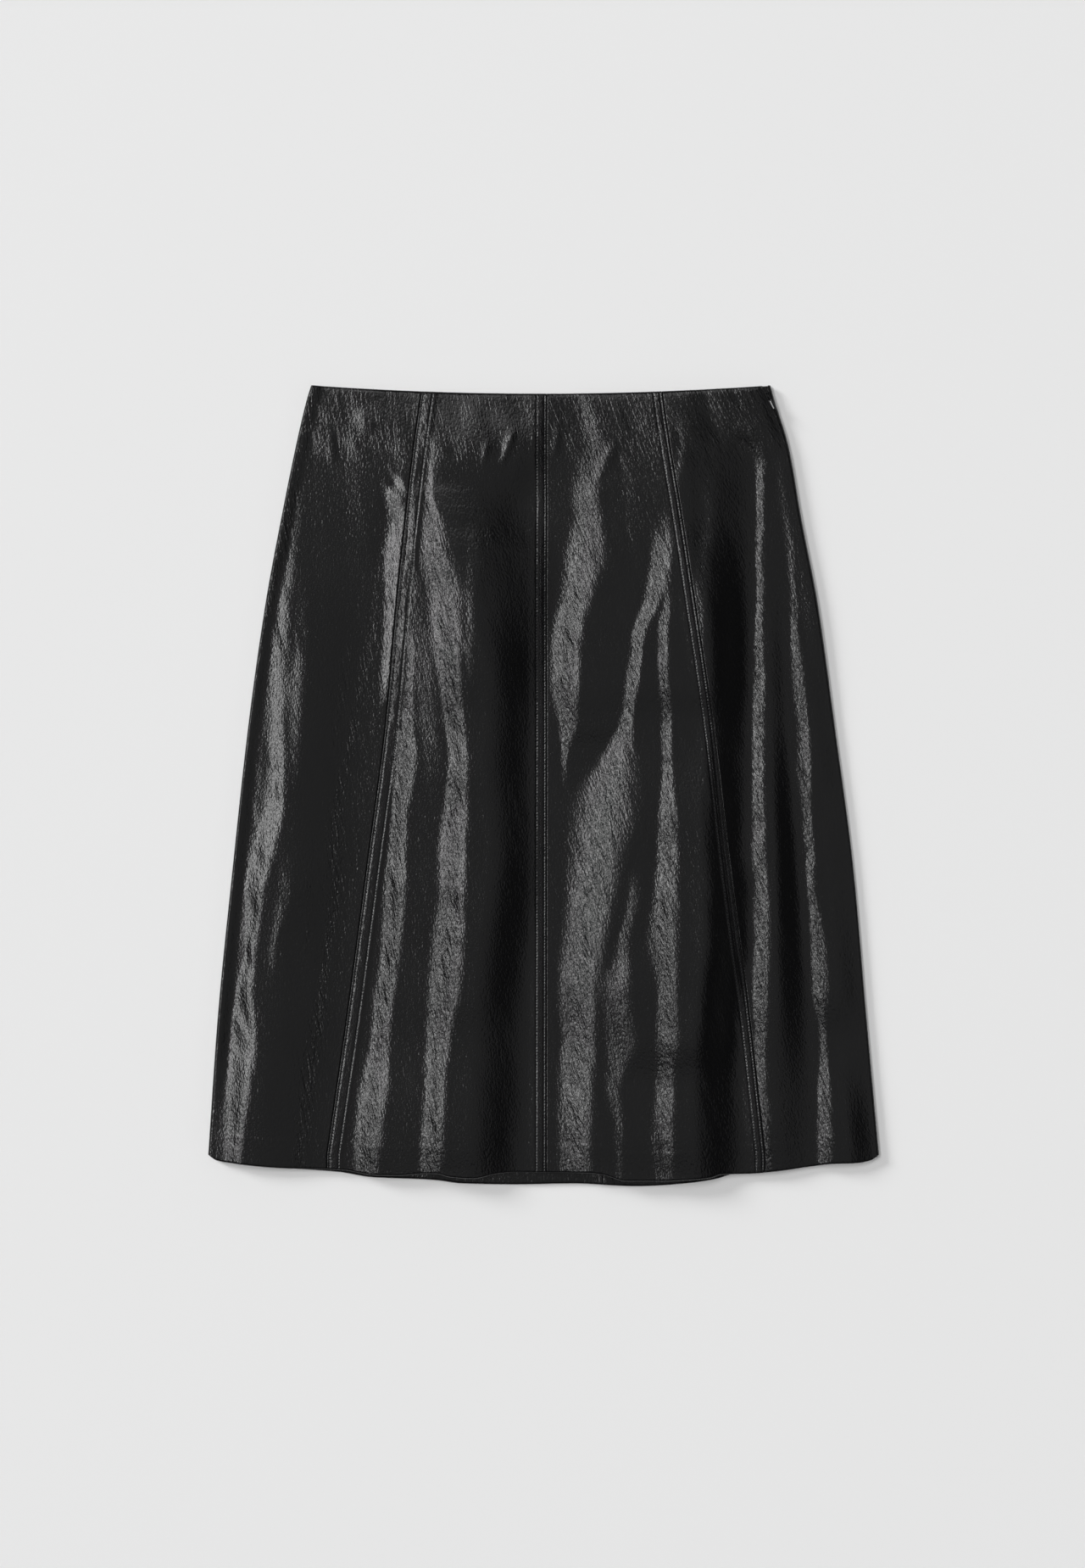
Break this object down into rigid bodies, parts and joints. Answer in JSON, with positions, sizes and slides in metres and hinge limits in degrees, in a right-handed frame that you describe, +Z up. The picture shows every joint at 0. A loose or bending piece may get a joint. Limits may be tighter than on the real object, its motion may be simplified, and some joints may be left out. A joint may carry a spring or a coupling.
{
  "type": "flared gored skirt laid flat",
  "caption": "Knee-length flared skirt of black coated cloth, laid flat, with fluted front gores, topstitched seams and a concealed side zip.",
  "frame": {"origin": "middle of the flat underside, on the surface that the skirt lies on", "axes": "+Z up out of the front, +Y along the length towards the waist, +X to the zip side, the picture's right"},
  "size_m": [0.554, 0.661, 0.0187],
  "materials": {
    "cloth": "glossy black polyurethane-coated cloth with a fine pebble grain",
    "zip_tape": "matt woven tape",
    "zip_coil": "satin nylon coil",
    "zip_metal": "gloss black lacquer"
  },
  "bodies": {
    "skirt": {"front_side_left": "cloth", "front_centre_left": "cloth", "front_centre_right": "cloth", "front_side_right": "cloth", "back_side_left": "cloth", "back_centre_left": "cloth", "back_centre_right": "cloth", "back_side_right": "cloth", "zip_tape_front": "zip_tape", "zip_tape_back": "zip_tape", "zip_coil": "zip_coil", "zip_slider": "zip_metal"},
    "pull_tab": {"zip_pull": "zip_metal"}
  },
  "joints": [
    {"name": "pull_hinge", "type": "hinge", "parent": "skirt", "child": "pull_tab", "pos_m": [0.18557, 0.32035, 0.00715], "axis": [-0.8988, -0.4384, 0], "range_deg": [0, 165]}
  ]
}
